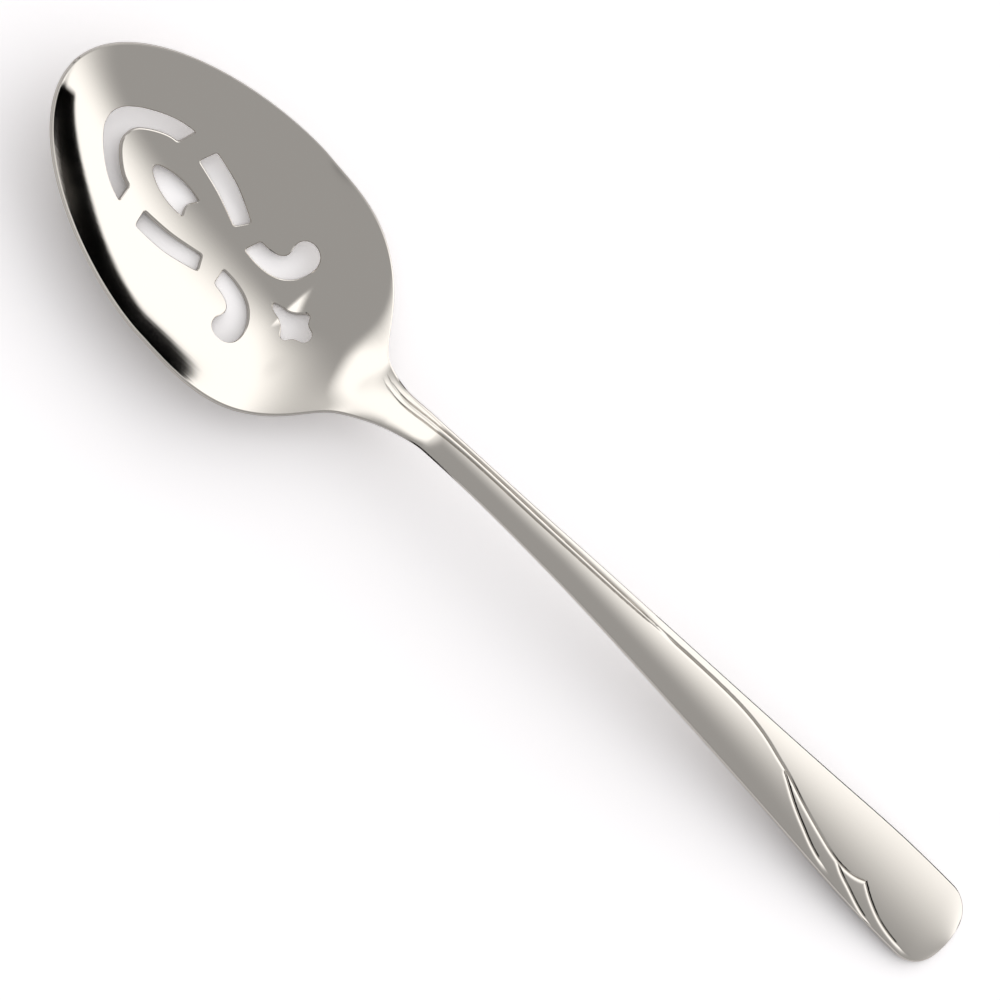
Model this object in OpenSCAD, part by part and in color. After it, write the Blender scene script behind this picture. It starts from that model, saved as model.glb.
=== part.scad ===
// Slotted serving spoon, stamped from one blank of stainless steel.
// X runs from the bowl's tip (-) to the handle's end (+), Y across, Z up.
// The origin is at mid length on the table that the spoon rests on.

/* [Overall] */
// Length from the bowl's tip to the handle's end
overall_len = 216; // [190:1:240]
// Sideways turn of the bowl against the handle, in degrees, as on the photographed spoon
bowl_turn = 5.5; // [-6:0.5:6]

/* [Bowl] */
// Widest width of the bowl, rim to rim
bowl_w = 44; // [38:0.5:50]
// Depth from the rim down to the floor
bowl_depth = 9; // [7:0.5:13]
// Distance from the tip to the widest place
widest_at = 39; // [36:0.5:46]
// Thickness of the bowl's wall
wall_t = 1.4; // [1:0.1:2]
// Thickness of the rim
rim_t = 1; // [0.8:0.1:1.6]
// Rise of the rim from its lowest place to the tip
tip_rise = 3; // [0:0.5:6]

/* [Neck and handle] */
// Distance from the tip to the narrowest place of the neck
neck_at = 86; // [80:1:92]
// Width of the neck at its narrowest
neck_w = 6; // [5:0.25:8]
// Thickness of the neck
neck_t = 3; // [2.4:0.1:4]
// Height of the neck's top above the table
neck_h = 12.8; // [11:0.2:18]
// Distance from the tip to the highest place of the handle
arch_at = 116; // [108:1:130]
// Height of the handle's highest place above the table
arch_h = 14.4; // [12.4:0.2:22]
// Widest width of the handle, near its end
handle_w = 16; // [13:0.2:20]
// Thickness of the handle at its end
handle_t = 2.2; // [1.8:0.1:3]
// Radius of the two corners at the handle's end
corner_r = 6; // [4:0.5:7]
// Crown of the handle, middle above edges
crown = 0.5; // [0.2:0.1:0.8]

/* [Slots] */
// Distance from the tip to the first slot
slots_at = 10.5; // [9:0.5:13]
// Length of the whole slot pattern along the bowl
pattern_len = 50; // [44:0.5:52]
// Width of the whole slot pattern across the bowl
pattern_w = 22.6; // [18:0.2:26]

/* [Handle relief] */
// Width of the grooves cut in the handle
groove_w = 0.7; // [0.4:0.1:1]
// Depth of the grooves cut in the handle
groove_depth = 0.3; // [0.2:0.05:0.5]
// Width of the outer bead along the handle's edge
outer_bead_w = 1.1; // [0.7:0.05:1.2]
// Width of the inner bead beside it
inner_bead_w = 0.85; // [0.6:0.05:1.1]
// Distance from the tip to the start of the beads
beads_at = 73; // [71:0.5:76]
// Length of the beads
beads_len = 61; // [50:1:70]

/* [Rests] */
// Depth by which the bowl's floor is flattened where it rests
flat_depth = 0.3; // [0.2:0.05:0.5]

/* [Hidden] */
overrun = 4;              // how far cutting tools run past what they cut
half_len = overall_len / 2;
rim_h = wall_t - flat_depth + bowl_depth;
floor_h = wall_t - flat_depth;
across = 12;              // sections' steps from the middle to each edge
tip_steps = 14;           // sections from the tip to the widest place
heel_steps = 24;          // sections from the widest place to the neck
handle_steps = 24;        // sections along the handle
corner_steps = 10;        // sections around the handle's corners

// Shares of the bowl's flank: [place from the widest place to the neck, how much wider than the neck]
flank_shares = [
    [0, 1], [0.06, 0.9985], [0.2, 0.986], [0.33, 0.926], [0.46, 0.782], [0.6, 0.453], [0.67, 0.233],
    [0.74, 0.12], [0.81, 0.056], [0.88, 0.024], [0.95, 0.008], [1, 0],
];
// Shares of the handle's taper: [place from the neck to full width, how much wider than the neck]
taper_shares = [[0, 0], [0.1, 0.012], [0.27, 0.13], [0.53, 0.42], [0.8, 0.785], [0.93, 0.967], [1, 1]];
// Shares of the rim's rise from the widest place to the neck
rim_shares = [[0, 0], [0.3, 0.02], [0.5, 0.12], [0.65, 0.3], [0.8, 0.62], [1, 1]];
// Shares of the floor's rise from the middle of the bowl to the neck
heel_shares = [
    [0, 0], [0.1, 0.011], [0.2, 0.048], [0.3, 0.127], [0.4, 0.255], [0.5, 0.405],
    [0.6, 0.538], [0.7, 0.654], [0.8, 0.768], [0.9, 0.883], [1, 1],
];
// Shares of the handle's fall from its highest place to its end
fall_shares = [[0, 0], [0.12, 0.05], [0.25, 0.17], [0.5, 0.44], [0.75, 0.73], [1, 1]];
tip_power = 1.66;         // roundness of the bowl's outline toward the tip
nose_power = 3;           // how late the floor rises toward the tip
rim_ease = 0.2;           // how much the bowl's sections straighten toward the rim
arch_power = 6;           // how soon the handle levels out behind the neck
rim_power = 4;            // how near the rim the wall gets thin
upright_share = 0.5;      // how far the rim's edge is ground from square to the wall toward upright
floor_from = widest_at + bowl_depth / 4;    // where the floor starts to rise toward the neck
turn_at = 0.56 * neck_at;                   // place on the middle line about which the bowl is turned
turn_until = 0.74 * neck_at;                // the bowl is turned as one up to here
full_at = overall_len - corner_r * 5 / 3;   // the handle reaches its full width here
edge_thin_share = 0.25;   // how much thinner the neck and handle are at their edges

// Smooth curve through points [place, value]; each slope comes from the neighbours
function slope_at(p, i) =
    i == 0 ? (p[1][1] - p[0][1]) / (p[1][0] - p[0][0])
    : i == len(p) - 1 ? (p[i][1] - p[i - 1][1]) / (p[i][0] - p[i - 1][0])
    : let (a = p[i][0] - p[i - 1][0], b = p[i + 1][0] - p[i][0])
      ((p[i + 1][1] - p[i][1]) / b * a + (p[i][1] - p[i - 1][1]) / a * b) / (a + b);
function piece_of(p, x, i = 0) = i >= len(p) - 2 || x < p[i + 1][0] ? i : piece_of(p, x, i + 1);
function hermite(a, b, from, to, t) =
    a * (2 * t * t * t - 3 * t * t + 1) + from * (t * t * t - 2 * t * t + t)
    + b * (3 * t * t - 2 * t * t * t) + to * (t * t * t - t * t);
function curve(p, x) =
    let (i = piece_of(p, x), h = p[i + 1][0] - p[i][0])
    hermite(p[i][1], p[i + 1][1], slope_at(p, i) * h, slope_at(p, i + 1) * h, (x - p[i][0]) / h);
function ease(x, from, to) =
    let (t = max(0, min(1, (x - from) / (to - from)))) t * t * (3 - 2 * t);
function share_of(s, from, to) = (s - from) / (to - from);

// Half width of the outline at the distance s from the tip
function half_width(s) =
    s < widest_at ? bowl_w / 2 * sqrt(1 - pow(1 - s / widest_at, tip_power))
    : s < neck_at ? (neck_w + (bowl_w - neck_w) * curve(flank_shares, share_of(s, widest_at, neck_at))) / 2
    : let (
        growth = curve(taper_shares, min(1, share_of(s, neck_at, full_at))),
        into_corner = max(0, s - (overall_len - corner_r))
    )
      (neck_w + (handle_w - neck_w) * growth) / 2
      - corner_r + sqrt(corner_r * corner_r - into_corner * into_corner);

// Height of the middle line and of the edge, both on the upper face
function handle_height(s) =
    s < arch_at ? arch_h - (arch_h - neck_h) * pow(1 - share_of(s, neck_at, arch_at), arch_power)
    : arch_h - (arch_h - handle_t) * curve(fall_shares, share_of(s, arch_at, overall_len));
function edge_height(s) =
    s < widest_at ? rim_h + tip_rise * pow(1 - s / widest_at, 2)
    : s < neck_at ? rim_h + (neck_h - crown - rim_h) * curve(rim_shares, share_of(s, widest_at, neck_at))
    : handle_height(s) - crown;
function middle_height(s) =
    s < floor_from ? floor_h + (edge_height(s) - floor_h) * pow(1 - s / floor_from, nose_power)
    : s < neck_at ? floor_h + (neck_h - floor_h) * curve(heel_shares, share_of(s, floor_from, neck_at))
    : handle_height(s);

// The bowl is turned about one place, and the turn fades out in the neck
function turned(p) =
    let (a = bowl_turn * (1 - ease(p[0], turn_until, neck_at)), along = p[0] - turn_at)
    [turn_at + along * cos(a) + p[1] * sin(a) - half_len, p[1] * cos(a) - along * sin(a), p[2]];

// Upper face at the distance s from the tip and the share v of the half width
function upper(s, v) =
    let (mid = middle_height(s), lift = edge_height(s) - mid, straighter = lift > 0 ? rim_ease : 0)
    turned([s, v * half_width(s), mid + lift * ((1 + straighter) * pow(v, 2) - straighter * pow(v, 4))]);
// How near the rim a place of the bowl is: 0 in the middle, 1 on the outline
function nearness(s, v) =
    pow(s < widest_at ? norm([1 - s / widest_at, v * half_width(s) * 2 / bowl_w]) : abs(v), rim_power);
// Thickness of the metal there
function thickness(s, v) =
    let (
        in_bowl = wall_t + (rim_t - wall_t) * nearness(s, v),
        middle = s < neck_at ? neck_t : neck_t + (handle_t - neck_t) * share_of(s, neck_at, overall_len),
        in_handle = middle * (1 - edge_thin_share * v * v)
    )
    in_bowl + (in_handle - in_bowl) * ease(s, floor_from, neck_at);
function unit(v) = v / norm(v);
function upright(direction, share) = unit(direction * (1 - share) + [0, 0, share]);
tiny_share = 0.0005;      // step that finds slopes
tiny = overall_len * tiny_share;
// Lower face under the same place, across the metal
function lower(s, v) =
    let (
        back = upper(s - tiny, v),
        along = upper(min(s + tiny, overall_len), v) - back,
        inner = v > 0 ? v - tiny_share : v + tiny_share,
        aside = (upper(s, v) - upper(s, inner)) * (v > 0 ? 1 : -1),
        near_end = ease(s, overall_len - corner_r, overall_len),
        share = max(upright_share * nearness(s, v), near_end)
    )
    upper(s, v) - upright(unit(cross(along, aside)), share) * thickness(s, v);

// Places of the sections, closer together where the outline turns fast
stations = concat(
    [for (i = [1 : tip_steps]) widest_at * (1 - cos(90 * i / tip_steps))],
    [for (i = [1 : heel_steps]) widest_at + (neck_at - widest_at) * i / heel_steps],
    [for (i = [1 : handle_steps]) neck_at + (overall_len - corner_r - neck_at) * i / handle_steps],
    [for (i = [1 : corner_steps]) overall_len - corner_r + corner_r * sin(90 * i / corner_steps)]
);
shares_across = [for (j = [-across : across]) sin(90 * j / across)];

// The formed blank: upper and lower faces over one outline, closed by the edge
module formed_blank() {
    rows = len(stations);
    cols = len(shares_across);
    low = 2 + rows * cols;
    tip_slope = (middle_height(tiny) - middle_height(0)) / tiny;
    tip_top = turned([0, 0, middle_height(0)]);
    tip_low = tip_top - upright(unit([-tip_slope, 0, 1]), upright_share) * rim_t;
    points = concat(
        [tip_top, tip_low],
        [for (s = stations) for (v = shares_across) upper(s, v)],
        [for (s = stations) for (v = shares_across) lower(s, v)]
    );
    upper_faces = [
        for (r = [0 : rows - 2]) for (c = [0 : cols - 2])
            let (a = 2 + r * cols + c, b = a + 1, d = a + cols, e = d + 1)
            each c < across ? [[a, b, e], [a, e, d]] : [[a, b, d], [b, e, d]]
    ];
    lower_faces = [for (f = upper_faces) [f[2] + low - 2, f[1] + low - 2, f[0] + low - 2]];
    tip_faces = [
        for (c = [0 : cols - 2])
            each [[0, 3 + c, 2 + c], [1, low + c, low + c + 1]]
    ];
    edge_faces = [
        for (r = [0 : rows - 2])
            let (a = 2 + r * cols, b = a + cols, c = a + cols - 1, d = c + cols, under = low - 2)
            each [[a, b, b + under], [a, b + under, a + under], [d, c, c + under], [d, c + under, d + under]]
    ];
    tip_edge_faces = [
        [0, 2, low], [0, low, 1],
        [1 + cols, 0, 1], [1 + cols, 1, low + cols - 1],
    ];
    last = 2 + (rows - 1) * cols;
    end_faces = [
        for (c = [0 : cols - 2])
            let (a = last + c, under = low - 2)
            each [[a, a + 1, a + 1 + under], [a, a + 1 + under, a + under]]
    ];
    polyhedron(
        points = points,
        faces = concat(upper_faces, lower_faces, tip_faces, edge_faces, tip_edge_faces, end_faces),
        convexity = 6
    );
}

// Slots, as closed outlines of points [place along the pattern, place across its half, smooth or corner]
// Upper half of the two slots that lie on the middle line, from front to back
crescent_shares = [
    [0, 0, 1], [0.012, 0.11, 1], [0.03, 0.21, 1], [0.056, 0.32, 1], [0.085, 0.44, 1], [0.113, 0.56, 1],
    [0.235, 0.77, 0], [0.216, 0.48, 0], [0.167, 0.385, 1], [0.124, 0.225, 1], [0.1, 0.11, 1], [0.09, 0, 1],
];
spade_shares = [
    [0.227, 0, 1], [0.244, 0.08, 1], [0.296, 0.16, 1], [0.355, 0.19, 1], [0.418, 0.17, 0], [0.397, 0, 1],
];
star_shares = [
    [0.835, 0, 1], [0.852, 0.058, 1], [0.889, 0.09, 1], [0.914, 0.165, 1], [0.93, 0.26, 1],
    [0.947, 0.265, 1], [0.962, 0.15, 1], [0.992, 0.095, 1], [1, 0, 1],
];
// Whole outlines of the two slots that stand beside the middle line
bar_shares = [
    [0.315, 0.55, 0], [0.332, 0.815, 0], [0.46, 0.735, 1], [0.585, 0.54, 0], [0.556, 0.32, 0], [0.435, 0.47, 1],
];
comma_shares = [
    [0.638, 0.215, 0], [0.653, 0.47, 0], [0.695, 0.483, 1], [0.7285, 0.53, 1], [0.747, 0.617, 1],
    [0.746, 0.706, 1], [0.738, 0.796, 1], [0.742, 0.903, 1], [0.76, 0.98, 1], [0.788, 1, 1],
    [0.818, 0.957, 1], [0.838, 0.849, 1], [0.8416, 0.706, 1], [0.83, 0.5185, 1], [0.798, 0.349, 1],
    [0.754, 0.25, 1], [0.697, 0.208, 1],
];
slot_steps = 5;           // pieces of each stretch of a slot's outline
slot_round = 0.25;        // radius of a slot's corners

// A closed outline through points; a corner has no slope of its own
function closed_curve(p) = [
    for (i = [0 : len(p) - 1])
        let (n = len(p), a = p[i], b = p[(i + 1) % n], before = p[(i + n - 1) % n], after = p[(i + 2) % n])
        for (k = [0 : slot_steps - 1])
            let (c = hermite(a, b, (b - before) / 2 * a[2], (after - a) / 2 * b[2], k / slot_steps))
            [c[0], c[1]]
];
function mirrored(half) = concat(
    half,
    [for (i = [len(half) - 1 : -1 : 0]) if (half[i][1] != 0) [half[i][0], -half[i][1], half[i][2]]]
);
function beside(p, side) = [for (q = p) [q[0], q[1] * side, q[2]]];

module slot(outline) {
    placed = [
        for (q = closed_curve(outline))
            let (p = turned([slots_at + q[0] * pattern_len, q[1] * pattern_w / 2, 0])) [p[0], p[1]]
    ];
    translate([0, 0, -overrun])
        linear_extrude(rim_h + overrun)
            offset(r = slot_round, $fn = 16) offset(delta = -slot_round) polygon(placed);
}

module slots() {
    slot(mirrored(crescent_shares));
    slot(mirrored(spade_shares));
    slot(mirrored(star_shares));
    for (side = [-1, 1]) {
        slot(beside(bar_shares, side));
        slot(beside(comma_shares, side));
    }
}

// Grooves that part the beads from each other and from the handle, as points [distance from the tip,
// share of the half width]; they keep their distance from the edge, and run together at their ends
bead_steps = 16;
beads_meet_share = 0.7;   // where along the beads the inner one starts to get narrower
function bead_line(from_edge, narrowing) = [
    for (i = [0 : bead_steps])
        let (
            s = beads_at + beads_len * i / bead_steps,
            inset = from_edge - narrowing * ease(i / bead_steps, beads_meet_share, 1)
        )
        [s, 1 - inset / half_width(s)]
];
// Grooves of the swept leaves, as points [place from the neck to the end, share of the half width]
function on_handle(shares) = [for (q = shares) [neck_at + q[0] * (overall_len - neck_at), q[1]]];
sweep_shares = [
    [0.4, 0.66], [0.454, 0.685], [0.508, 0.685], [0.55, 0.645], [0.581, 0.565], [0.608, 0.45],
    [0.637, 0.28], [0.665, 0.125], [0.696, -0.075], [0.727, -0.24], [0.762, -0.39], [0.788, -0.48],
    [0.808, -0.505], [0.827, -0.48], [0.841, -0.42], [0.849, -0.36],
];
leaf_shares = [
    [0.849, -0.36], [0.862, -0.475], [0.881, -0.62], [0.903, -0.74], [0.927, -0.81], [0.954, -0.84],
];
under_leaf_shares = [
    [0.65, 0.19], [0.668, 0], [0.685, -0.185], [0.709, -0.405], [0.732, -0.56], [0.755, -0.7],
    [0.778, -0.79], [0.79, -0.82],
];
between_leaf_shares = [[0.789, -0.475], [0.81, -0.595], [0.833, -0.715], [0.855, -0.81], [0.865, -0.84]];

// A groove of triangular section, swept over the upper face and fading out at its ends
module groove(line) {
    n = len(line);
    mids = [for (q = line) upper(q[0], q[1])];
    fades = [for (i = [0 : n - 1]) i == 0 || i == n - 1 ? 0.3 : 1];
    sections = [
        for (i = [0 : n - 1])
            let (
                ahead = mids[min(n - 1, i + 1)] - mids[max(0, i - 1)],
                side = unit([-ahead[1], ahead[0], 0]) * groove_w * fades[i],
                up = [0, 0, groove_depth * fades[i]]
            )
            each [mids[i] - up, mids[i] + side + up, mids[i] - side + up]
    ];
    faces = concat(
        [[0, 1, 2]],
        [
            for (i = [0 : n - 2]) for (k = [0 : 2])
                let (a = 3 * i + k, b = 3 * i + (k + 1) % 3)
                each [[a, a + 3, b], [b, a + 3, b + 3]]
        ],
        [[3 * n - 1, 3 * n - 2, 3 * n - 3]]
    );
    polyhedron(points = sections, faces = faces, convexity = 4);
}

module below_table() {
    translate([-overall_len, -bowl_w, -overrun - wall_t])
        cube([2 * overall_len, 2 * bowl_w, overrun + wall_t]);
}

module spoon() {
    color("silver")
        difference() {
            formed_blank();
            slots();
            groove(bead_line(outer_bead_w, 0));
            groove(bead_line(outer_bead_w + inner_bead_w, inner_bead_w / 2));
            for (shares = [sweep_shares, leaf_shares, under_leaf_shares, between_leaf_shares])
                groove(on_handle(shares));
            below_table();
        }
}

spoon();
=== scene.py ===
# %% [markdown]
# # A slotted serving spoon
# The real spoon is one piece of stainless steel sheet. A press blanks out its outline, pierces the
# seven slots, strikes the lines and leaves of the handle, and dishes the bowl. Then it is polished.
# The script takes the same steps: a flat blank, slots, and one pressing that gives every point its
# place. So the slots' walls lean with the bowl, as they do on the real one.

# %% Load the frame
import math
import bmesh
import bpy
import numpy as np
from mathutils import Matrix
from mathutils import Vector


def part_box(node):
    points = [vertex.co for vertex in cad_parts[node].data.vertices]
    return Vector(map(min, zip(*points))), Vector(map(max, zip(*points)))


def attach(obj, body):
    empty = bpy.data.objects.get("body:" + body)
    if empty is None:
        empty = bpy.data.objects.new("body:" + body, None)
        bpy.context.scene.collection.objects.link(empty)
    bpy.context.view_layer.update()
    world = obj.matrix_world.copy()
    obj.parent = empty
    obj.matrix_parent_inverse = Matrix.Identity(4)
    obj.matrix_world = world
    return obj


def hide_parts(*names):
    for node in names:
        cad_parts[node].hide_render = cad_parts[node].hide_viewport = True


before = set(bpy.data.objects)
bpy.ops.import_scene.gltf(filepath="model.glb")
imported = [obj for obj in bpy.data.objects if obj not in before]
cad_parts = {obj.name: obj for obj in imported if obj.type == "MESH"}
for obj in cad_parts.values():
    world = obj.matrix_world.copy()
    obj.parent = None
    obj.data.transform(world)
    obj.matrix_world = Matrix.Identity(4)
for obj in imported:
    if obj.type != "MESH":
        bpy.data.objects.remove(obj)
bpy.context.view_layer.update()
low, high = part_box("spoon")
print("the spoon's solid:", [round(1000 * (b - a), 1) for a, b in zip(low, high)], "mm")

# %% [markdown]
# ## Sizes
# All sizes are in millimetres and turned to metres at the end. Lengths, widths and thicknesses are
# those of the solid that this piece stands for. The heights follow what the polished steel of the
# real spoon mirrors, within the solid's box. A place on the spoon is written as its distance s from
# the bowl's tip and its distance y from the middle line.

# %% The spoon's sizes
TINY = 0.0001
LENGTH = 216
BOWL_TURN = math.radians(5.5)
BOWL_WIDTH = 44
BOWL_DEPTH = 9
WIDEST_AT = 39
WALL = 1.4
RIM = 1
TIP_RISE = 2
NECK_AT = 86
NECK_WIDTH = 6
NECK_THICK = 3
NECK_HEIGHT = 12.8
ARCH_AT = 116
ARCH_HEIGHT = 14.4
HANDLE_WIDTH = 16
END_THICK = 2.2
CORNER = 6
CROWN = 0.5
FLAT = 0.3

FLOOR_HEIGHT = WALL - FLAT
RIM_HEIGHT = FLOOR_HEIGHT + BOWL_DEPTH
FLOOR_FROM = WIDEST_AT + BOWL_DEPTH / 4
TURN_AT = 0.56 * NECK_AT
TURN_UNTIL = 0.74 * NECK_AT
FULL_AT = LENGTH - CORNER * 5 / 3
EDGE_BEVEL = 0.3
ARCH_POWER = 3.6
NOSE_POWER = 3
BOWL_ROUNDNESS = 1.66
CROWN_GROWS = 0.5
CROWN_GROWS_OVER = (100, 145)
print("length", LENGTH, "mm, bowl", BOWL_WIDTH, "mm wide, handle", HANDLE_WIDTH, "mm wide at its end")

# %% [markdown]
# ## Curves
# Polished steel is a mirror, and a mirror shows every kink. So the outline and the heights run on
# cubic curves whose bend changes smoothly. Their points are given one by one. Most are shares of a
# size, so that a form keeps its character when the size changes.


# %% A smooth curve through points
def smooth_curve(points, start=None, end=None):
    """A curve through points (place, value); start and end are its slopes there, if they are set."""
    place, value = np.array(points, float).T
    gap = np.diff(place)
    chord = np.diff(value) / gap
    count = len(place)
    system = np.zeros((count, count))
    right = np.zeros(count)
    for i in range(1, count - 1):
        system[i, i - 1] = gap[i]
        system[i, i] = 2 * (gap[i - 1] + gap[i])
        system[i, i + 1] = gap[i - 1]
        right[i] = 3 * (gap[i] * chord[i - 1] + gap[i - 1] * chord[i])
    for i, inner, slope, near in ((0, 1, start, chord[0]), (count - 1, count - 2, end, chord[-1])):
        system[i, i] = 1 if slope is not None else 2
        system[i, inner] = 0 if slope is not None else 1
        right[i] = slope if slope is not None else 3 * near
    slopes = np.linalg.solve(system, right)

    def at(x):
        x = np.clip(x, place[0], place[-1])
        i = np.clip(np.searchsorted(place, x, side="right") - 1, 0, count - 2)
        t = (x - place[i]) / gap[i]
        rise = value[i] * (1 - t) ** 2 * (1 + 2 * t) + value[i + 1] * t * t * (3 - 2 * t)
        return rise + gap[i] * (slopes[i] * t * (1 - t) ** 2 - slopes[i + 1] * t * t * (1 - t))

    return at


def ease(x, start, end):
    """0 before start, 1 after end, and a soft S between them."""
    t = np.clip((x - start) / (end - start), 0, 1)
    return t * t * (3 - 2 * t)


def share(x, start, end):
    """How far x is from start to end, as a share of the way."""
    return (x - start) / (end - start)


print("halfway along an eased step:", float(ease(0.5, 0, 1)))

# %% [markdown]
# ## Outline and heights
# The tip half of the bowl is a superellipse. Behind its widest place the flank sweeps in to the
# neck, and from there the handle widens to a square end with round corners. The bowl's floor rises
# late toward the tip, and in an S to the neck. The handle arches and comes down to the table. Across
# the handle its face is a little crowned, so that a hand finds no edge.

# %% Outline
flank = smooth_curve(
    [(0, 1), (0.06, 0.9985), (0.2, 0.986), (0.33, 0.926), (0.46, 0.782), (0.6, 0.453), (0.67, 0.233),
     (0.74, 0.12), (0.81, 0.056), (0.88, 0.024), (0.95, 0.008), (1, 0)], 0, 0)
taper = smooth_curve(
    [(0, 0), (0.1, 0.012), (0.27, 0.13), (0.53, 0.42), (0.8, 0.785), (0.93, 0.967), (1, 1)], 0)


def half_width(s):
    """Half of the blank's width at the distance s from the tip."""
    front = 1 - np.clip(s, 0, WIDEST_AT) / WIDEST_AT
    bowl = BOWL_WIDTH / 2 * np.sqrt(1 - front ** BOWL_ROUNDNESS)
    waist = (NECK_WIDTH + (BOWL_WIDTH - NECK_WIDTH) * flank(share(s, WIDEST_AT, NECK_AT))) / 2
    into_corner = np.clip(s - (LENGTH - CORNER), 0, CORNER)
    handle = (NECK_WIDTH + (HANDLE_WIDTH - NECK_WIDTH) * taper(share(s, NECK_AT, FULL_AT))) / 2
    handle = handle - CORNER + np.sqrt(CORNER ** 2 - into_corner ** 2)
    return np.where(s < WIDEST_AT, bowl, np.where(s < NECK_AT, waist, handle))


print("half widths:", [round(float(half_width(s)), 1) for s in (10, 41.5, 70, 86, 150, 205)])

# %% Heights of the upper face
arch_slope = ARCH_POWER * (ARCH_HEIGHT - NECK_HEIGHT) / (ARCH_AT - NECK_AT)
heel_slope = arch_slope * (NECK_AT - FLOOR_FROM) / (NECK_HEIGHT - FLOOR_HEIGHT)
rim_rise = smooth_curve([(0, 0), (0.3, 0.1), (0.5, -0.5), (0.65, -0.13), (0.8, 0.27), (1, 1)], 0)
heel = smooth_curve(
    [(0, 0), (0.11, 0.008), (0.196, 0.016), (0.263, 0.03), (0.33, 0.073), (0.397, 0.205), (0.464, 0.39),
     (0.531, 0.55), (0.598, 0.654), (0.687, 0.73), (0.821, 0.835), (0.933, 0.938), (1, 1)], 0, heel_slope)
rim_ease = smooth_curve(
    [(0, 0.17), (14, 0.16), (28, 0.08), (42, 0.07), (50, 0.2), (58, 0.28), (86, 0.28)], 0, 0)
fall = smooth_curve([(0, 0), (0.12, 0.05), (0.25, 0.17), (0.5, 0.44), (0.75, 0.73), (1, 1)], 0)


def handle_height(s):
    """Height of the handle's middle line, which arches behind the neck and comes down to its end."""
    before_arch = 1 - np.minimum(share(s, NECK_AT, ARCH_AT), 1)
    rising = ARCH_HEIGHT - (ARCH_HEIGHT - NECK_HEIGHT) * before_arch ** ARCH_POWER
    falling = ARCH_HEIGHT - (ARCH_HEIGHT - END_THICK) * fall(share(s, ARCH_AT, LENGTH))
    return np.where(s < ARCH_AT, rising, falling)


def crown(s):
    """How much higher the handle's middle line is than its edges."""
    return CROWN * (1 + CROWN_GROWS * ease(s, *CROWN_GROWS_OVER))


def edge_height(s):
    """Height of the upper face at its edge."""
    front = RIM_HEIGHT + TIP_RISE * (1 - share(s, 0, WIDEST_AT)) ** 2
    back = RIM_HEIGHT + (NECK_HEIGHT - CROWN - RIM_HEIGHT) * rim_rise(share(s, WIDEST_AT, NECK_AT))
    return np.where(s < WIDEST_AT, front, np.where(s < NECK_AT, back, handle_height(s) - crown(s)))


def middle_height(s):
    """Height of the upper face on its middle line."""
    to_tip = np.abs(1 - share(s, 0, FLOOR_FROM))
    nose = FLOOR_HEIGHT + (edge_height(s) - FLOOR_HEIGHT) * to_tip ** NOSE_POWER
    back = FLOOR_HEIGHT + (NECK_HEIGHT - FLOOR_HEIGHT) * heel(share(s, FLOOR_FROM, NECK_AT))
    return np.where(s < FLOOR_FROM, nose, np.where(s < NECK_AT, back, handle_height(s)))


print("heights of the middle line:", [round(float(middle_height(s)), 1) for s in (1, 41, 86, 116, 215)])

# %% [markdown]
# ## The handle's relief
# Two beads follow the handle's upper edge from the neck to mid length. From there a swept line
# crosses the handle: above it the metal is struck down in a steep wall, and below it the leaf's
# edge is rolled over. So polished steel shows a dark line with a white streak beside it. Near the
# end the leaf parts into smaller ones. The points are distances from the tip, with shares of the
# half width.

# %% Lines of the relief
LEAF_TIP = 196.4
sweep = smooth_curve(
    [(136, 0.65), (145, 0.685), (152, 0.685), (157.5, 0.645), (161.5, 0.565), (165, 0.45), (168.8, 0.28),
     (172.5, 0.125), (176.5, -0.075), (180.5, -0.24), (185, -0.39), (188.5, -0.48), (191, -0.505),
     (193.5, -0.48), (195.3, -0.42), (LEAF_TIP, -0.36)])
last_leaf = smooth_curve(
    [(LEAF_TIP, -0.36), (198, -0.475), (200.5, -0.62), (203.4, -0.74), (206.5, -0.81), (210, -0.85),
     (213, -0.88)])
under_leaf = smooth_curve(
    [(170.5, 0.19), (172.8, 0), (175, -0.185), (178.2, -0.405), (181.1, -0.56), (184.1, -0.7),
     (187.1, -0.79), (190.5, -0.86)])
between_leaves = smooth_curve(
    [(188.6, -0.475), (189.8, -0.51), (191.3, -0.595), (194.3, -0.715), (197.2, -0.82), (200.3, -0.91),
     (203.5, -0.96)])
outer_bead = smooth_curve(
    [(70, 1.25), (78, 1.38), (86, 1.08), (94, 0.92), (105, 1), (118, 1.25), (140, 1.48)])
inner_bead = smooth_curve(
    [(70, 0.75), (76, 1.08), (83, 1.05), (90, 0.87), (105, 0.83), (118, 0.75), (128, 0.66), (140, 0.3)])
print("the leaf's tip is", round(LENGTH - LEAF_TIP, 1), "mm from the handle's end")

# %% Depths of the relief, and where each line starts, ends, fades in and fades out
LINE_DEPTH = 0.28
LINE_WALL = 0.28
LEAF_ROLL = 0.75
ROLL_POWER = 2.2
UNDER_LEAF_FADE = 0.4
GROOVE_HALF = 0.15
GROOVE_DEPTH = 0.14
BEAD_HEIGHT = 0.14
BEAD_FULLNESS = 0.8
BEADS_FROM = 73
BEADS_TO = 139
BEADS_FADE = 8
SWEEP_SPAN = (135.5, 212.5, 6, 5)
UNDER_SPAN = (170.5, 191, 1, 5)
BETWEEN_SPAN = (188.6, 204, 1, 4)
LINE_STEP = 0.2


def beside(line, s, y):
    """Distance of a point from a line of the relief, above it positive."""
    after = line(s + LINE_STEP) * half_width(s + LINE_STEP)
    before = line(s - LINE_STEP) * half_width(s - LINE_STEP)
    slope = (after - before) / (2 * LINE_STEP)
    return (y - line(s) * half_width(s)) / np.sqrt(1 + slope ** 2)


def present(s, start, end, fade_in, fade_out):
    """1 where a line of the relief is, fading to 0 at its ends."""
    return ease(s, start, start + fade_in) * (1 - ease(s, end - fade_out, end))


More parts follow.
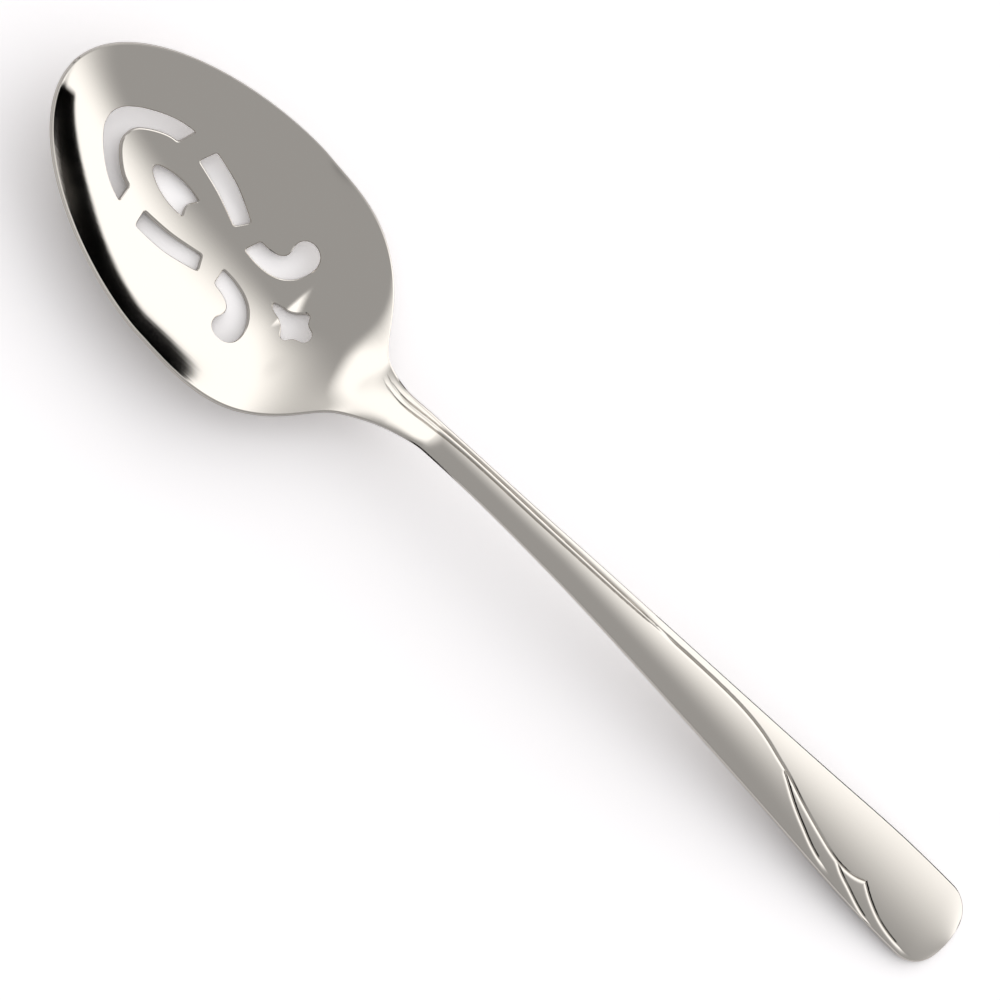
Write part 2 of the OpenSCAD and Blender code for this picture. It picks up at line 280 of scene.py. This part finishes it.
def struck_line(gap):
    """Height beside a struck line: a steep wall above it, and below it the leaf's rolled edge."""
    wall = -LINE_DEPTH * np.clip(1 - gap / LINE_WALL, 0, 1)
    roll = -LINE_DEPTH * np.clip(1 + gap / LEAF_ROLL, 0, 1) ** ROLL_POWER
    return np.where(gap < 0, roll, wall)


def bead_groove(gap):
    """Height beside the bottom of the sharp groove that parts two beads."""
    return -GROOVE_DEPTH * np.clip(1 - np.abs(gap) / GROOVE_HALF, 0, 1)


def relief(s, y):
    """Height of the struck relief over the smooth upper face."""
    inset = half_width(s) - y
    first = outer_bead(s)
    second = first + inner_bead(s)
    beads = np.sin(np.pi * np.clip(inset / first, 0, 1)) ** BEAD_FULLNESS
    beads = beads + np.sin(np.pi * np.clip((inset - first) / (second - first), 0, 1)) ** BEAD_FULLNESS
    beads = beads * BEAD_HEIGHT + bead_groove(inset - first) + bead_groove(inset - second)
    beads = beads * present(s, BEADS_FROM, BEADS_TO, BEADS_FADE, BEADS_FADE)
    leaf = np.where(s < LEAF_TIP, beside(sweep, s, y), beside(last_leaf, s, y))
    below = ease(-leaf, 0, UNDER_LEAF_FADE)
    lines = [
        struck_line(leaf) * present(s, *SWEEP_SPAN),
        struck_line(beside(under_leaf, s, y)) * present(s, *UNDER_SPAN) * below,
        struck_line(beside(between_leaves, s, y)) * present(s, *BETWEEN_SPAN) * below,
    ]
    return beads + np.minimum.reduce(lines)


bead_top = max(float(relief(100, y)) for y in np.linspace(0, 3, 60))
print("the beads stand", round(bead_top, 2), "mm proud, the lines are struck", LINE_DEPTH, "mm deep")

# %% [markdown]
# ## The pressing
# One function puts a point of the flat blank in its place on the formed spoon. The depth under the
# upper face is a share of the metal's thickness, which is 1.4 mm in the bowl and 3 mm at the neck.
# The thickness runs square to the face, and turns upright toward the rim and the handle's end, so
# that these keep their outline. Last, the bowl is turned a little against the handle.

# %% From the flat blank to the formed spoon
SHEET = WALL
NARROWEST = 0.001
RIM_POWER = 4
RIM_UPRIGHT = 0.5
EDGE_THINNING = 0.25
TABLE_SOFTNESS = 0.01
SLOPE_STEP = 0.02


def upper_height(s, y):
    """Height of the smooth upper face, from the middle line up or down to the edge."""
    across = np.abs(y) / np.maximum(half_width(s), NARROWEST)
    middle = middle_height(s)
    lift = edge_height(s) - middle
    straighter = np.where(lift > 0, rim_ease(s), 0)
    return middle + lift * ((1 + straighter) * across ** 2 - straighter * across ** 4)


def thickness(s, y):
    """Thickness of the metal, and how near the bowl's rim the place is, from 0 to 1."""
    across = np.minimum(np.abs(y) / np.maximum(half_width(s), NARROWEST), 1)
    radial = np.hypot(1 - s / WIDEST_AT, y * 2 / BOWL_WIDTH)
    near_rim = np.minimum(np.where(s < WIDEST_AT, radial, across), 1) ** RIM_POWER
    in_bowl = WALL + (RIM - WALL) * near_rim
    in_handle = NECK_THICK + (END_THICK - NECK_THICK) * np.clip(share(s, NECK_AT, LENGTH), 0, 1)
    in_handle = in_handle * (1 - EDGE_THINNING * across ** 2)
    return in_bowl + (in_handle - in_bowl) * ease(s, FLOOR_FROM, NECK_AT), near_rim


def press(flat):
    """Places of flat points (distance from the tip, distance from the middle, height) on the spoon."""
    s = np.clip(flat[:, 0], TINY, LENGTH)
    y = flat[:, 1]
    depth = -flat[:, 2] / SHEET
    ahead = upper_height(np.minimum(s + SLOPE_STEP, LENGTH), y)
    slope_along = (ahead - upper_height(s - SLOPE_STEP, y)) / (2 * SLOPE_STEP)
    slope_across = (upper_height(s, y + SLOPE_STEP) - upper_height(s, y - SLOPE_STEP)) / (2 * SLOPE_STEP)
    square = np.stack([-slope_along, -slope_across, np.ones_like(s)], 1)
    square /= np.linalg.norm(square, axis=1)[:, None]
    thick, near_rim = thickness(s, y)
    upright = np.maximum(RIM_UPRIGHT * near_rim, ease(s, LENGTH - CORNER, LENGTH))
    inward = square * (1 - upright)[:, None]
    inward[:, 2] += upright
    inward /= np.linalg.norm(inward, axis=1)[:, None]
    top = upper_height(s, y) + relief(s, y) * (1 - depth)
    place = np.stack([flat[:, 0], y, top], 1) - inward * (thick * depth)[:, None]
    place[:, 2] = (place[:, 2] + np.sqrt(place[:, 2] ** 2 + TABLE_SOFTNESS)) / 2
    turn = BOWL_TURN * (1 - ease(place[:, 0], TURN_UNTIL, NECK_AT))
    along = place[:, 0] - TURN_AT
    x = TURN_AT + along * np.cos(turn) + place[:, 1] * np.sin(turn) - LENGTH / 2
    return np.stack([x, place[:, 1] * np.cos(turn) - along * np.sin(turn), place[:, 2]], 1)


print("the bowl's tip is pressed to", press(np.zeros((1, 3))).round(1)[0], "mm")

# %% [markdown]
# ## The blank
# A grid of quads is the sheet. Its rows close up toward the tip, where the outline turns fastest,
# and its columns follow the outline. The sheet is made smaller than the outline by its bevel,
# extruded to its thickness, and its wall is then swelled out to a bevelled edge. An even grid bends
# evenly, and a mirror needs that.

# %% Rows and columns of the sheet
TIP_ROWS = 60
HEEL_ROWS = 60
HANDLE_ROWS = 200
CORNER_ROWS = 20
COLUMNS = 40
BEVEL_RINGS = [(0, 0), (0.05, 0.012), (0.26, 0.18), (EDGE_BEVEL, 0.26)]
WALL_STEPS = 2 * len(BEVEL_RINGS) - 1
MERGED_WITHIN = 0.0005

turn = np.linspace(0, math.pi / 2, TIP_ROWS + 1)
corner = np.linspace(0, math.pi / 2, CORNER_ROWS + 1)
rows = np.concatenate([
    WIDEST_AT * (1 - np.cos(turn)),
    np.linspace(WIDEST_AT, NECK_AT, HEEL_ROWS + 1)[1:],
    np.linspace(NECK_AT, LENGTH - CORNER, HANDLE_ROWS + 1)[1:],
    LENGTH - CORNER + CORNER * np.sin(corner[1:]),
])
widths = half_width(rows)
along = np.gradient(rows)
aside = np.gradient(widths)
length = np.hypot(along, aside)
row_places = rows + EDGE_BEVEL * aside / length
row_widths = np.maximum(widths - EDGE_BEVEL * along / length, 0)
row_widths[0] = 0
print("rows:", len(rows), "columns:", COLUMNS + 1)


# %% The flat blank
def new_object(name, bm):
    """An object of its own made from a bmesh, which is freed."""
    mesh = bpy.data.meshes.new(name)
    bm.to_mesh(mesh)
    bm.free()
    piece = bpy.data.objects.new(name, mesh)
    bpy.context.scene.collection.objects.link(piece)
    return piece


bm = bmesh.new()
bmesh.ops.create_grid(bm, x_segments=len(rows) - 1, y_segments=COLUMNS, size=1)
for vert in bm.verts:
    row = round((vert.co.x + 1) / 2 * (len(rows) - 1))
    vert.co = (row_places[row], vert.co.y * row_widths[row], 0)
bmesh.ops.remove_doubles(bm, verts=bm.verts, dist=MERGED_WITHIN)
sheet = list(bm.faces)
print("sheet:", len(sheet), "faces")

lower = bmesh.ops.extrude_face_region(bm, geom=sheet, use_keep_orig=True)["geom"]
for element in lower:
    if isinstance(element, bmesh.types.BMVert):
        element.co.z = -SHEET
upright = [e for e in bm.edges if abs(e.verts[0].co.z - e.verts[1].co.z) > SHEET / 2]
bmesh.ops.subdivide_edges(bm, edges=upright, cuts=WALL_STEPS - 1)
bmesh.ops.recalc_face_normals(bm, faces=bm.faces)
bm.normal_update()
for vert in bm.verts:
    ring = round(-vert.co.z / SHEET * WALL_STEPS)
    outward, drop = BEVEL_RINGS[min(ring, WALL_STEPS - ring)]
    if drop > 0:
        aside = Vector((vert.normal.x, vert.normal.y, 0)).normalized()
        vert.co = vert.co + aside * outward
        vert.co.z = -drop if ring < WALL_STEPS / 2 else drop - SHEET
spoon = new_object("spoon_body", bm)
print("blank:", len(spoon.data.polygons), "faces")

# %% [markdown]
# ## The slots
# Seven slots are pierced in the floor: a crescent, a spade and a star on the middle line, and a
# bar and a comma on both sides of it. Each punch is a rolled-up grid. It widens where it leaves
# the sheet, so that the cut leaves the slot with round edges. A Boolean modifier does the punching.
# A point of an outline ends in 1 where the outline runs on smoothly, and in 0 where it has a corner.

# %% Outlines of the slots, as shares of the pattern's length and half width
SLOTS_AT = 10.5
PATTERN_LENGTH = 50
PATTERN_WIDTH = 22.6
crescent = [
    (0, 0, 1), (0.005, 0.11, 1), (0.019, 0.225, 1), (0.053, 0.375, 1), (0.097, 0.515, 1),
    (0.142, 0.63, 1), (0.188, 0.712, 1), (0.235, 0.765, 0), (0.221, 0.485, 0), (0.188, 0.45, 1),
    (0.15, 0.36, 1), (0.113, 0.235, 1), (0.092, 0.12, 1), (0.087, 0, 1)]
spade = [
    (0.227, 0, 1), (0.244, 0.08, 1), (0.296, 0.16, 1), (0.355, 0.19, 1), (0.418, 0.17, 0),
    (0.397, 0, 1)]
star = [
    (0.835, 0, 1), (0.852, 0.058, 1), (0.889, 0.09, 1), (0.914, 0.165, 1), (0.93, 0.26, 1),
    (0.947, 0.265, 1), (0.962, 0.15, 1), (0.992, 0.095, 1), (1, 0, 1)]
bar = [
    (0.315, 0.55, 0), (0.332, 0.815, 0), (0.46, 0.735, 1), (0.585, 0.54, 0), (0.556, 0.32, 0),
    (0.435, 0.47, 1)]
comma = [
    (0.638, 0.215, 0), (0.653, 0.47, 0), (0.695, 0.483, 1), (0.7285, 0.53, 1), (0.747, 0.617, 1),
    (0.746, 0.706, 1), (0.738, 0.796, 1), (0.742, 0.903, 1), (0.76, 0.98, 1), (0.788, 1, 1),
    (0.818, 0.957, 1), (0.838, 0.849, 1), (0.8416, 0.706, 1), (0.83, 0.5185, 1), (0.798, 0.349, 1),
    (0.754, 0.25, 1), (0.697, 0.208, 1)]
OUTLINE_STEP = 0.3
CURVE_STEPS = 12
CORNER_SOFTENING = 2


def both_halves(half):
    """The whole outline of a slot that lies on the middle line."""
    return half + [(x, -y, smooth) for x, y, smooth in half[::-1] if y != 0]


def other_side(outline):
    """The outline mirrored to the other side of the middle line."""
    return [(x, -y, smooth) for x, y, smooth in outline[::-1]]


def slot_outline(shares):
    """A closed outline in millimetres, evenly stepped, its corners softened as tumbling leaves them."""
    points = np.array([(SLOTS_AT + x * PATTERN_LENGTH, y * PATTERN_WIDTH / 2) for x, y, _ in shares])
    smooth = np.array([point[2] for point in shares])[:, None]
    slopes = (np.roll(points, -1, 0) - np.roll(points, 1, 0)) / 2 * smooth
    t = np.linspace(0, 1, CURVE_STEPS, endpoint=False)[None, :, None]
    here, there = points[:, None], np.roll(points, -1, 0)[:, None]
    leaving, arriving = slopes[:, None], np.roll(slopes, -1, 0)[:, None]
    line = here * (1 - t) ** 2 * (1 + 2 * t) + there * t * t * (3 - 2 * t)
    line = line + leaving * t * (1 - t) ** 2 - arriving * t * t * (1 - t)
    line = line.reshape(-1, 2)
    closed = np.vstack([line, line[:1]])
    run = np.concatenate([[0], np.cumsum(np.linalg.norm(np.diff(closed, axis=0), axis=1))])
    even = np.linspace(0, run[-1], round(run[-1] / OUTLINE_STEP), endpoint=False)
    line = np.stack([np.interp(even, run, closed[:, k]) for k in (0, 1)], 1)
    for _ in range(CORNER_SOFTENING):
        line = (np.roll(line, 1, 0) + 2 * line + np.roll(line, -1, 0)) / 4
    return line


outlines = [slot_outline(both_halves(half)) for half in (crescent, spade, star)]
for beside_middle in (bar, comma):
    outlines.append(slot_outline(beside_middle))
    outlines.append(slot_outline(other_side(beside_middle)))
print("slots:", len(outlines), "with outlines of", [len(o) for o in outlines], "points")

# %% The punches
SLOT_BEVEL = 0.2
PUNCH_ABOVE = 0.3
PUNCH_FLARE = 1.3
punch_rings = [(PUNCH_ABOVE, SLOT_BEVEL * PUNCH_FLARE)]
punch_rings += [(-drop, SLOT_BEVEL * (1 - outward / EDGE_BEVEL)) for outward, drop in BEVEL_RINGS[1:]]
punch_rings += [(-SHEET - z, grow) for z, grow in punch_rings[::-1]]


def add_punch(bm, outline):
    """A punch's side: a grid laid round the outline, whose seam is merged and ends capped afterwards."""
    ahead = np.roll(outline, -1, 0) - np.roll(outline, 1, 0)
    aside = np.stack([ahead[:, 1], -ahead[:, 0]], 1)
    aside /= np.linalg.norm(aside, axis=1)[:, None]
    x, y = outline.T
    area = np.sum(x * np.roll(y, -1) - y * np.roll(x, -1))
    aside *= 1 if area > 0 else -1
    count = len(outline)
    levels = len(punch_rings) - 1
    made = bmesh.ops.create_grid(bm, x_segments=count, y_segments=levels, size=1)["verts"]
    for vert in made:
        i = round((vert.co.x + 1) / 2 * count) % count
        z, grow = punch_rings[round((vert.co.y + 1) / 2 * levels)]
        x, y = outline[i] + aside[i] * grow
        vert.co = (x, y, z)


bm = bmesh.new()
for outline in outlines:
    add_punch(bm, outline)
bmesh.ops.remove_doubles(bm, verts=bm.verts, dist=TINY)
bmesh.ops.holes_fill(bm, edges=[e for e in bm.edges if e.is_boundary])
bmesh.ops.recalc_face_normals(bm, faces=bm.faces)
punches = new_object("punches", bm)
print("punches:", len(punches.data.polygons), "faces")

# %% Pierce the blank
cut = spoon.modifiers.new("pierce", "BOOLEAN")
cut.operation = "DIFFERENCE"
cut.solver = "EXACT"
cut.object = punches
graph = bpy.context.evaluated_depsgraph_get()
pierced = bpy.data.meshes.new_from_object(spoon.evaluated_get(graph))
spoon.modifiers.clear()
spoon.data = pierced
bpy.data.objects.remove(punches)
print("pierced blank:", len(pierced.polygons), "faces")

# %% [markdown]
# ## Finer where the relief is
# The beads and leaves are fractions of a millimetre wide, and the sheet's quads aren't. So the
# faces near a line of the relief are split three times, each time in a narrower strip beside it.
# The beads are rounder than the lines, so the third split leaves them out.

# %% Split the faces near the relief
REFINED_WITHIN = (1, 0.55, 0.25)
BEADS_REFINED = (BEADS_FROM - 2, BEADS_TO + 3)
LINES_REFINED = (
    (sweep, 133.4, LEAF_TIP + 0.6),
    (last_leaf, LEAF_TIP - 0.6, 213.6),
    (under_leaf, 169.4, 191.6),
    (between_leaves, 187.4, 204.6),
)
FAR = 99


def relief_distance(s, y, within):
    """Distance of places from the nearest line that this split has to follow."""
    inset = half_width(s) - y
    first = outer_bead(s)
    near_beads = np.minimum(np.abs(inset - first), np.abs(inset - first - inner_bead(s)))
    beads_here = (s > BEADS_REFINED[0]) & (s < BEADS_REFINED[1]) & (within > REFINED_WITHIN[-1])
    near = np.where(beads_here, near_beads, FAR)
    for line, start, end in LINES_REFINED:
        here = (s > start) & (s < end)
        near = np.minimum(near, np.where(here, np.abs(beside(line, s, y)), FAR))
    return near


bm = bmesh.new()
bm.from_mesh(spoon.data)
for within in REFINED_WITHIN:
    top = [f for f in bm.faces if all(abs(v.co.z) < MERGED_WITHIN for v in f.verts)]
    centres = np.array([f.calc_center_median()[:2] for f in top])
    near = relief_distance(centres[:, 0], centres[:, 1], within) < within
    edges = {e for face, is_near in zip(top, near) if is_near for e in face.edges}
    bmesh.ops.subdivide_edges(bm, edges=list(edges), cuts=1, use_grid_fill=True)
    print("faces with relief split:", len(bm.faces))

# %% [markdown]
# ## Pressing the blank
# Every point moves to its place. The shading normals are pressed with the points: on the upper and
# lower face they are exactly square to the curved surface, and only the bevelled edges turn away
# from it. That keeps the mirror clean right up to the edge of each slot. Each ring of a bevel turns
# by a set tilt, in degrees. Along the handle the polishing wheel wears the edge flatter or steeper:
# the tilts lean back by what the crown has turned there, lean a little at the handle's end, and
# lean the other way along its lower edge.

# %% Press the points and the normals
BEVEL_TILTS = [0, 36.5, 38.5, 90]
BEVEL_LEANS = [0, 1, 1, 0]
END_LEAN = 5
LOWER_EDGE_LEAN = 22
LEANS_FULLY_AT = NECK_AT + 15
LOWER_SIDE = -0.5
PRESS_STEP = 0.01

bm.normal_update()
flat = np.array([v.co for v in bm.verts])
facing = np.array([v.normal for v in bm.verts])
from_face = np.minimum(-flat[:, 2], SHEET + flat[:, 2])
aside = facing[:, :2] / np.maximum(np.linalg.norm(facing[:, :2], axis=1), TINY)[:, None]
drops = [drop for _, drop in BEVEL_RINGS]
crown_lean = np.degrees(2 * crown(flat[:, 0]) / np.maximum(half_width(flat[:, 0]), 1))
own_lean = crown_lean * np.abs(aside[:, 1]) + END_LEAN * np.clip(aside[:, 0], 0, 1)
own_lean = own_lean - LOWER_EDGE_LEAN * (aside[:, 1] < LOWER_SIDE)
own_lean = own_lean * ease(flat[:, 0], NECK_AT, LEANS_FULLY_AT) * np.interp(from_face, drops, BEVEL_LEANS)
tilt = np.radians(np.interp(from_face, drops, BEVEL_TILTS) - own_lean)
facing[:, :2] = aside * np.sin(tilt)[:, None]
facing[:, :2] *= (SHEET / thickness(flat[:, 0], flat[:, 1])[0])[:, None]
facing[:, 2] = np.where(flat[:, 2] > -SHEET / 2, 1, -1) * np.cos(tilt)
formed = press(flat)
moves = PRESS_STEP * np.eye(3)
change = [(press(flat + move) - press(flat - move)) / (2 * PRESS_STEP) for move in moves]
normals = facing[:, :1] * np.cross(change[1], change[2])
normals += facing[:, 1:2] * np.cross(change[2], change[0])
normals += facing[:, 2:] * np.cross(change[0], change[1])
normals /= np.linalg.norm(normals, axis=1)[:, None]
for vert, place in zip(bm.verts, formed / 1000):
    vert.co = place
for face in bm.faces:
    face.smooth = True
bm.to_mesh(spoon.data)
bm.free()
spoon.data.normals_split_custom_set_from_vertices(normals)
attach(spoon, "root")
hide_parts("spoon")
triangles = sum(len(face.vertices) - 2 for face in spoon.data.polygons)
print("spoon:", len(spoon.data.polygons), "faces,", triangles, "triangles")

# %% [markdown]
# ## Materials
# The finish is what a buyer knows as 18/10 stainless steel, polished with mops and compound until
# it mirrors. It is a bare metal, so it has no colour of its own but tints what it mirrors, a
# little warm. The mops leave hairlines along the spoon, finer than the eye sees one by one, and
# handling dulls the steel a little in patches. Both are noise in the object's own coordinates,
# which are metres: a scale of 90 makes patches 11 mm wide, and the hairlines are 17 mm long and
# 0.4 mm apart.


# %% Colours and nodes
def linear(code):
    """An sRGB colour such as D6D1CA as the linear numbers that the shaders use."""
    parts = [int(code[i:i + 2], 16) / 255 for i in (0, 2, 4)]
    return [p / 12.92 if p <= 0.04045 else ((p + 0.055) / 1.055) ** 2.4 for p in parts] + [1]


def add_node(tree, kind, settings=None, inputs=None):
    """A node with its settings, and its inputs set to values or joined to other nodes' outputs."""
    node = tree.nodes.new(kind)
    for name, value in (settings or {}).items():
        setattr(node, name, value)
    for name, value in (inputs or {}).items():
        if isinstance(value, bpy.types.NodeSocket):
            tree.links.new(value, node.inputs[name])
        else:
            node.inputs[name].default_value = value
    return node


def new_material(name):
    """An empty material, and its node tree."""
    material = bpy.data.materials.new(name)
    material.use_nodes = True
    material.node_tree.nodes.clear()
    return material, material.node_tree


print("the steel's tint:", [round(part, 3) for part in linear("D6D1CA")[:3]])

# %% Polished stainless steel
HAIRLINES_PER_METRE = (60, 2400, 600)
HAIRLINE_DEPTH = 0.0001
HAIRLINE_STRENGTH = 0.02
HANDLING_PER_METRE = 90
HANDLING_FROM = 0.35
HANDLING_TO = 0.7
POLISHED_ROUGHNESS = 0.05
HANDLED_ROUGHNESS = 0.085

steel, tree = new_material("polished_stainless_steel")
place = add_node(tree, "ShaderNodeTexCoord")
drawn = add_node(
    tree, "ShaderNodeMapping", inputs={"Vector": place.outputs["Object"], "Scale": HAIRLINES_PER_METRE})
hairlines = add_node(
    tree, "ShaderNodeTexNoise", inputs={"Vector": drawn.outputs[0], "Scale": 1, "Detail": 3})
handling = add_node(
    tree, "ShaderNodeTexNoise",
    inputs={"Vector": place.outputs["Object"], "Scale": HANDLING_PER_METRE, "Detail": 4})
dulled = add_node(
    tree, "ShaderNodeMapRange",
    inputs={"Value": handling.outputs[0], "From Min": HANDLING_FROM, "From Max": HANDLING_TO,
            "To Min": POLISHED_ROUGHNESS, "To Max": HANDLED_ROUGHNESS})
lines = add_node(
    tree, "ShaderNodeBump",
    inputs={"Height": hairlines.outputs[0], "Strength": HAIRLINE_STRENGTH, "Distance": HAIRLINE_DEPTH})
shader = add_node(
    tree, "ShaderNodeBsdfPrincipled",
    inputs={"Base Color": linear("D6D1CA"), "Metallic": 1, "Roughness": dulled.outputs[0],
            "Normal": lines.outputs[0]})
add_node(tree, "ShaderNodeOutputMaterial", inputs={"Surface": shader.outputs[0]})
spoon.data.materials.clear()
spoon.data.materials.append(steel)
print("steel:", len(tree.nodes), "nodes")

# %% [markdown]
# ## The photograph's view
# The spoon lies on white paper, its handle pointing down to the right. The camera looks down from
# above, leaning a little to the left. Its axes are worked out once, and the light uses them too.

# %% Camera
SPOON_ANGLE = math.radians(42.61)
CAMERA_TILT = math.radians(15)
CAMERA_DISTANCE = 0.7
CAMERA_TARGET = Vector((-0.00563, 0.00081, 0.008))
FOCAL_LENGTH = 149.26
CLIP_START = 0.05

right_axis = Vector((math.cos(SPOON_ANGLE), math.sin(SPOON_ANGLE), 0))
up_axis = Vector((-math.sin(SPOON_ANGLE), math.cos(SPOON_ANGLE), 0))
zenith = Vector((0, 0, 1))
toward_camera = -right_axis * math.sin(CAMERA_TILT) + zenith * math.cos(CAMERA_TILT)

lens = bpy.data.cameras.new("camera")
lens.lens = FOCAL_LENGTH
lens.clip_start = CLIP_START
camera = bpy.data.objects.new("camera", lens)
bpy.context.scene.collection.objects.link(camera)
axes = Matrix((up_axis.cross(toward_camera), up_axis, toward_camera)).transposed().to_4x4()
camera.matrix_world = Matrix.Translation(CAMERA_TARGET + toward_camera * CAMERA_DISTANCE) @ axes
bpy.context.scene.camera = camera
bpy.context.scene.view_settings.view_transform = "Standard"
print("camera at", [round(1000 * part) for part in camera.matrix_world.translation], "mm")

# %% [markdown]
# ## Paper and light
# A mirror shows its room, so the room is the spoon's look. It is dim all round. A large soft window
# stands at the right, a little toward the top of the picture, and a smaller one is overhead, toward
# the upper left. Dark are the horizon, a wall at the left, and a low band at the right that rises
# toward the top: in the steel they make the black rim band and the thin dark lines.
# The paper is matt white. For the camera alone its colour counts 1.5 times, as in a photograph
# that is exposed to make paper white. It keeps its shadows, and the steel mirrors it unchanged.

# %% White paper
PAPER_GAIN = 1.5
PAPER_HALF = 2.5

bm = bmesh.new()
bmesh.ops.create_grid(bm, x_segments=1, y_segments=1, size=PAPER_HALF)
paper = new_object("paper", bm)
paper_white, tree = new_material("matt_white_paper")
rays = add_node(tree, "ShaderNodeLightPath")
seen_white = [PAPER_GAIN * part for part in linear("F3F1F2")[:3]] + [1]
paper_colour = add_node(
    tree, "ShaderNodeMix", {"data_type": "RGBA"},
    {0: rays.outputs["Is Camera Ray"], 6: linear("F3F1F2"), 7: seen_white})
matt = add_node(tree, "ShaderNodeBsdfDiffuse", inputs={"Color": paper_colour.outputs[2]})
add_node(tree, "ShaderNodeOutputMaterial", inputs={"Surface": matt.outputs[0]})
paper.data.materials.append(paper_white)
print("paper:", 2 * PAPER_HALF, "m wide")

# %% Places in the room
# A place is a span of how far a direction points along an axis. The place fades over the span.
DIM = 0.46
WINDOW = 1.62
TO_WINDOW = right_axis + up_axis * 0.6 - zenith * 0.325
WINDOW_SIDE = (-0.28, 0.7)
WINDOW_TOP = (0.887, 1)
TO_UPPER_WINDOW = up_axis - right_axis * 0.926
UPPER_WINDOW_SIDE = (0.21, 0.343)
UPPER_WINDOW_TOP = (0.388, 0.605)
UPPER_WINDOW_LEFT = (-0.46, -0.27)
TO_FOOT = right_axis * 0.5 - up_axis * 0.866
HORIZON = (0.09, 0.13)
HORIZON_LOWER_BY = 0.05
HORIZON_LOWER_AT = (0.64, 0.78)
TO_LEFT_WALL = right_axis * -0.9 - up_axis * 0.43
LEFT_WALL = (0.83, 0.87)
LOW_BAND = (0.16, 0.2)
LOW_BAND_LEFT = (0.4, 0.5)
LOW_BAND_FOOT = (-0.34, -0.26)
LOW_BAND_HIGHER_BY = 0.09
LOW_BAND_HIGHER_AT = (0.35, 0.85)
print("the window is", round(WINDOW / DIM, 1), "times as bright as the dim room")


# %% Helpers that add the room's nodes
def toward(vector, axis):
    """How far a direction points along an axis."""
    dot = add_node(tree, "ShaderNodeVectorMath", {"operation": "DOT_PRODUCT"}, {0: vector, 1: axis})
    return dot.outputs["Value"]


def ramp(value, span, levels=(0, 1)):
    """The first level before the span, the second one after it, and a soft S between them."""
    node = add_node(
        tree, "ShaderNodeMapRange", {"interpolation_type": "SMOOTHSTEP"},
        {"Value": value, "From Min": span[0], "From Max": span[1],
         "To Min": levels[0], "To Max": levels[1]})
    return node.outputs["Result"]


def combine(operation, first, second):
    """Two values joined by an operation of the Math node."""
    return add_node(tree, "ShaderNodeMath", {"operation": operation}, {0: first, 1: second}).outputs[0]


def both_of(first, second):
    """How much a direction lies in two places at once."""
    return combine("MULTIPLY", first, second)


def either_of(first, second):
    """How much a direction lies in one of two places."""
    return combine("MAXIMUM", first, second)


# %% The room
room = bpy.data.worlds.new("room")
bpy.context.scene.world = room
room.use_nodes = True
tree = room.node_tree
tree.nodes.clear()

sight = add_node(tree, "ShaderNodeTexCoord").outputs["Generated"]
to_right = toward(sight, right_axis)
to_top = toward(sight, up_axis)
to_zenith = toward(sight, zenith)

window = both_of(ramp(toward(sight, TO_WINDOW), WINDOW_SIDE), ramp(to_top, WINDOW_TOP, (1, 0)))
upper_window = ramp(toward(sight, TO_UPPER_WINDOW), UPPER_WINDOW_SIDE)
upper_window = both_of(upper_window, ramp(to_top, UPPER_WINDOW_TOP, (1, 0)))
upper_window = both_of(upper_window, ramp(to_right, UPPER_WINDOW_LEFT))
bright = either_of(window, upper_window)
level = combine("ADD", DIM, both_of(bright, WINDOW - DIM))

lowered = ramp(toward(sight, TO_FOOT), HORIZON_LOWER_AT, (0, HORIZON_LOWER_BY))
horizon = ramp(combine("ADD", to_zenith, lowered), HORIZON, (1, 0))
left_wall = ramp(toward(sight, TO_LEFT_WALL), LEFT_WALL)
raised = ramp(to_top, LOW_BAND_HIGHER_AT, (0, LOW_BAND_HIGHER_BY))
low_band = ramp(combine("SUBTRACT", to_zenith, raised), LOW_BAND, (1, 0))
low_band = both_of(ramp(to_right, LOW_BAND_LEFT), low_band)
low_band = both_of(low_band, ramp(to_top, LOW_BAND_FOOT))
dark = either_of(either_of(horizon, left_wall), low_band)
level = both_of(level, combine("SUBTRACT", 1, dark))

rays = add_node(tree, "ShaderNodeLightPath")
seen = add_node(
    tree, "ShaderNodeMix", {"data_type": "FLOAT"}, {0: rays.outputs["Is Camera Ray"], 2: level, 3: 1.0})
light = add_node(
    tree, "ShaderNodeBackground", inputs={"Color": linear("FFFFFF"), "Strength": seen.outputs[0]})
add_node(tree, "ShaderNodeOutputWorld", inputs={"Surface": light.outputs[0]})
print("room:", len(tree.nodes), "nodes")
